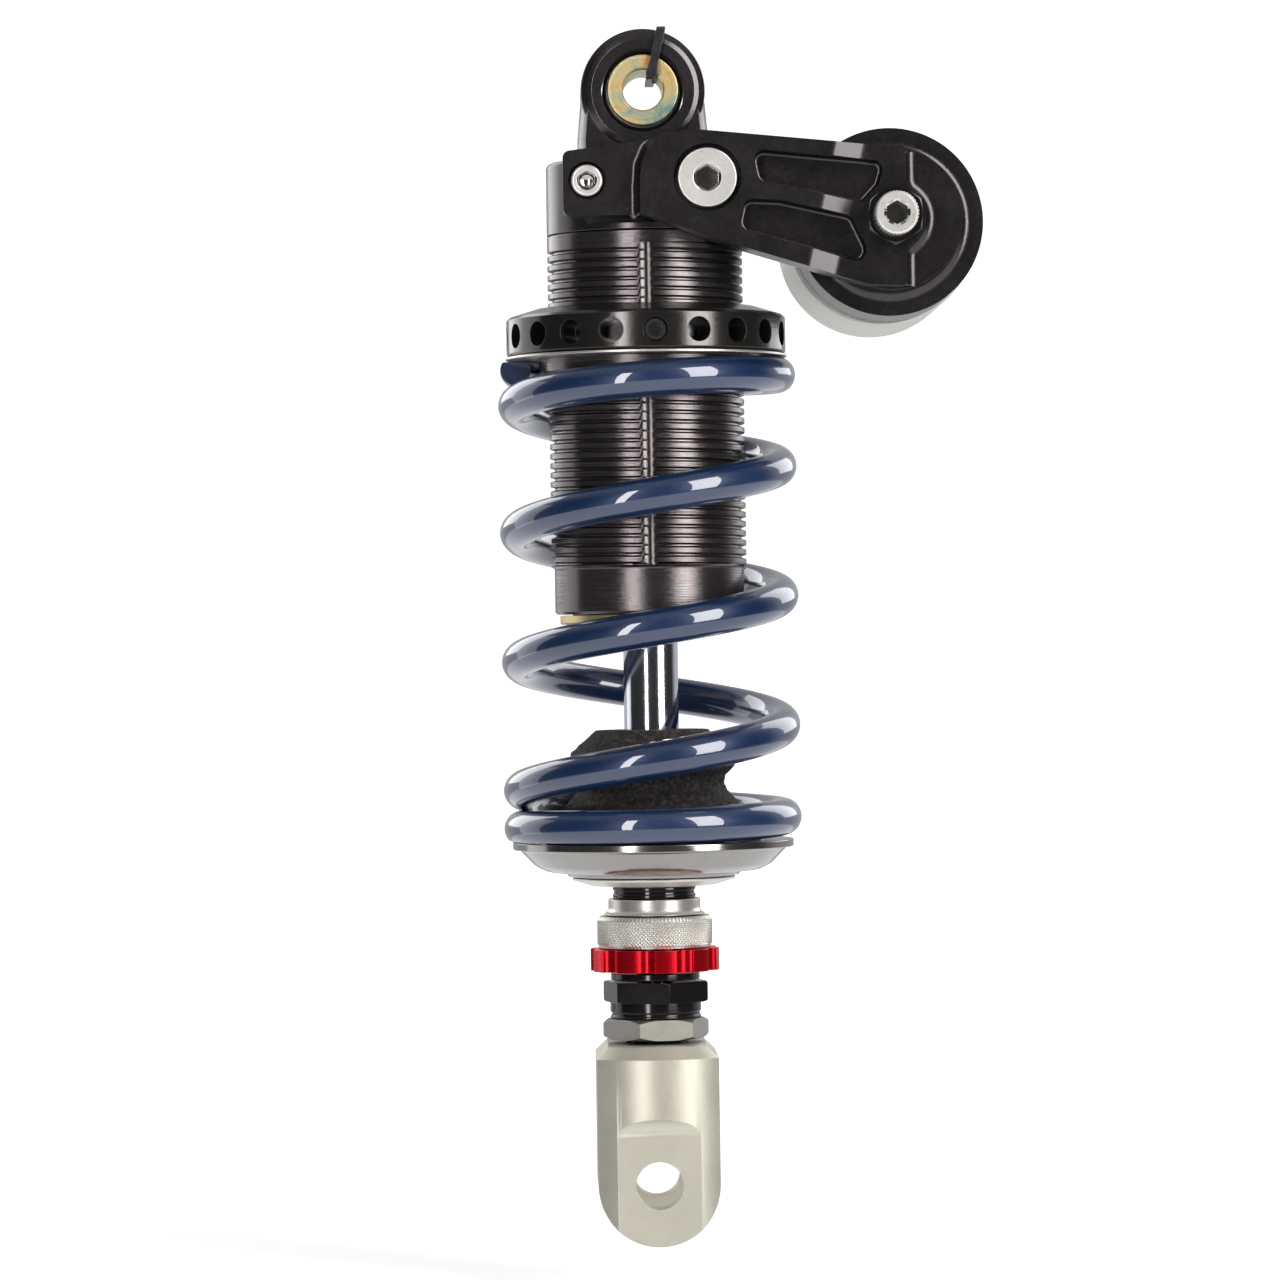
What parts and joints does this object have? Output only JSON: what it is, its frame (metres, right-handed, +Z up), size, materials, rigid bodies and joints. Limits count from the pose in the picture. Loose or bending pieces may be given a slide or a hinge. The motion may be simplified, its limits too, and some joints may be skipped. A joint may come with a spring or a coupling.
{
  "type": "coilover shock absorber",
  "caption": "Motorcycle rear coilover: threaded damper with coil spring, preload collar, arm-mounted gas reservoir, rebound knob and length-adjustable clevis.",
  "frame": {"origin": "centre of the top eye's bolt bore", "axes": "+Z up along the shock's axis from the clevis to the eye; the bolt bores and the reservoir run along Y; -Y is the side the adjusting screw faces"},
  "size_m": [0.1246, 0.1196, 0.3121],
  "materials": {
    "black_anodised": "black hard anodised, satin gloss",
    "thread_black": "black hard anodised thread",
    "seat_grey": "dark grey anodised",
    "satin_silver": "satin silver anodised",
    "champagne_aluminium": "blasted, champagne anodised",
    "gold_anodised": "gold anodised",
    "stainless": "bright stainless",
    "yellow_zinc": "yellow passivated zinc",
    "chrome": "hard chrome, polished",
    "spring_blue": "gloss metallic blue powder coat",
    "red_anodised": "red anodised",
    "foam_black": "open polyurethane foam",
    "rubber_black": "moulded nitrile",
    "bronze": "sintered bronze",
    "steel": "ground steel",
    "nylon_black": "moulded nylon",
    "ptfe_brown": "bronze-filled PTFE"
  },
  "bodies": {
    "damper_body": {"shock_head": "black_anodised", "bearing_race": "steel", "bearing_circlip_front": "steel", "bearing_circlip_rear": "steel", "cable_tie": "nylon_black", "damper_tube": "thread_black", "seal_head": "gold_anodised", "rod_bushing": "bronze", "rod_seal": "rubber_black", "dust_wiper": "rubber_black", "coil_spring": "spring_blue", "reservoir_bracket": "black_anodised", "bracket_screw_small": "stainless", "bracket_screw_large": "stainless", "compression_valve_body": "black_anodised", "reservoir_tube": "satin_silver", "reservoir_seal_ring": "rubber_black", "reservoir_end_cap": "black_anodised", "end_cap_seal": "rubber_black", "end_cap_circlip": "steel", "gas_valve": "steel", "gas_valve_cap": "black_anodised"},
    "eye_bearing": {"bearing_ball": "chrome", "eye_spacer_front": "yellow_zinc", "eye_spacer_rear": "yellow_zinc"},
    "gas_piston": {"floating_piston": "champagne_aluminium", "floating_piston_ring": "rubber_black"},
    "compression_knob": {"compression_adjuster": "stainless"},
    "compression_pin": {"compression_needle": "steel"},
    "preload_carrier": {"thrust_washer": "satin_silver"},
    "preload_ring": {"preload_collar": "black_anodised", "collar_set_screw": "black_anodised"},
    "rod_assembly": {"piston_rod": "chrome", "topout_washer": "steel", "rebound_shims": "steel", "damper_piston": "champagne_aluminium", "piston_band": "ptfe_brown", "compression_shims": "steel", "piston_nut": "steel", "bump_stop": "foam_black", "spring_seat": "seat_grey", "seat_retaining_ring": "satin_silver", "adjuster_housing": "black_anodised", "adjuster_collar": "satin_silver", "knob_retainer": "black_anodised", "swivel_nut": "steel"},
    "knurled_lock": {"knurled_ring": "satin_silver"},
    "rebound_dial": {"rebound_knob": "red_anodised"},
    "rebound_rod": {"rebound_needle": "steel", "needle_pin": "steel"},
    "length_screw": {"length_adjuster": "black_anodised", "lock_nut": "stainless"},
    "lower_fork": {"clevis": "champagne_aluminium"}
  },
  "joints": [
    {"name": "eye_swivel", "type": "hinge", "parent": "damper_body", "child": "eye_bearing", "pos_m": [0, 0, 0], "axis": [0, 1, 0], "continuous": true},
    {"name": "stroke", "type": "slide", "parent": "damper_body", "child": "rod_assembly", "axis": [0, 0, 1], "range_m": [0, 0.042], "stiffness_N_per_m": 90000, "springref_m": -0.004, "deforming": ["coil_spring", "bump_stop"]},
    {"name": "gas_piston_slide", "type": "slide", "parent": "damper_body", "child": "gas_piston", "axis": [0, 1, 0], "range_m": [0, 0.006]},
    {"name": "preload_turn", "type": "hinge", "parent": "preload_carrier", "child": "preload_ring", "pos_m": [0, 0, -0.062], "axis": [0, 0, 1], "range_deg": [0, 1620]},
    {"name": "preload_travel", "type": "slide", "parent": "damper_body", "child": "preload_carrier", "axis": [0, 0, 1], "range_m": [0, 0.0108]},
    {"name": "compression_turn", "type": "hinge", "parent": "damper_body", "child": "compression_knob", "pos_m": [0.062, -0.04, -0.0348], "axis": [0, 1, 0], "range_deg": [-450, 450]},
    {"name": "compression_pin_slide", "type": "slide", "parent": "damper_body", "child": "compression_pin", "axis": [0, 1, 0], "range_m": [-0.00094, 0.00094]},
    {"name": "knurled_ring_turn", "type": "hinge", "parent": "rod_assembly", "child": "knurled_lock", "pos_m": [0, 0, -0.2145], "axis": [0, 0, 1], "range_deg": [-180, 180]},
    {"name": "rebound_turn", "type": "hinge", "parent": "rod_assembly", "child": "rebound_dial", "pos_m": [0, 0, -0.2218], "axis": [0, 0, 1], "range_deg": [-450, 450]},
    {"name": "rebound_rod_slide", "type": "slide", "parent": "rod_assembly", "child": "rebound_rod", "axis": [0, 0, 1], "range_m": [-0.00094, 0.00094]},
    {"name": "length_turn", "type": "hinge", "parent": "rod_assembly", "child": "length_screw", "pos_m": [0, 0, -0.23], "axis": [0, 0, 1], "range_deg": [-200, 1920]},
    {"name": "fork_travel", "type": "slide", "parent": "rod_assembly", "child": "lower_fork", "axis": [0, 0, 1], "range_m": [-0.008, 0.00083]}
  ],
  "couplings": [
    {"joint": "gas_piston_slide", "follows": "stroke", "ratio": 0.1111},
    {"joint": "preload_turn", "follows": "preload_travel", "rad_per_m": 2618},
    {"joint": "compression_turn", "follows": "compression_pin_slide", "rad_per_m": 8377.6},
    {"joint": "rebound_turn", "follows": "rebound_rod_slide", "rad_per_m": 8377.6},
    {"joint": "length_turn", "follows": "fork_travel", "rad_per_m": -4188.8}
  ]
}
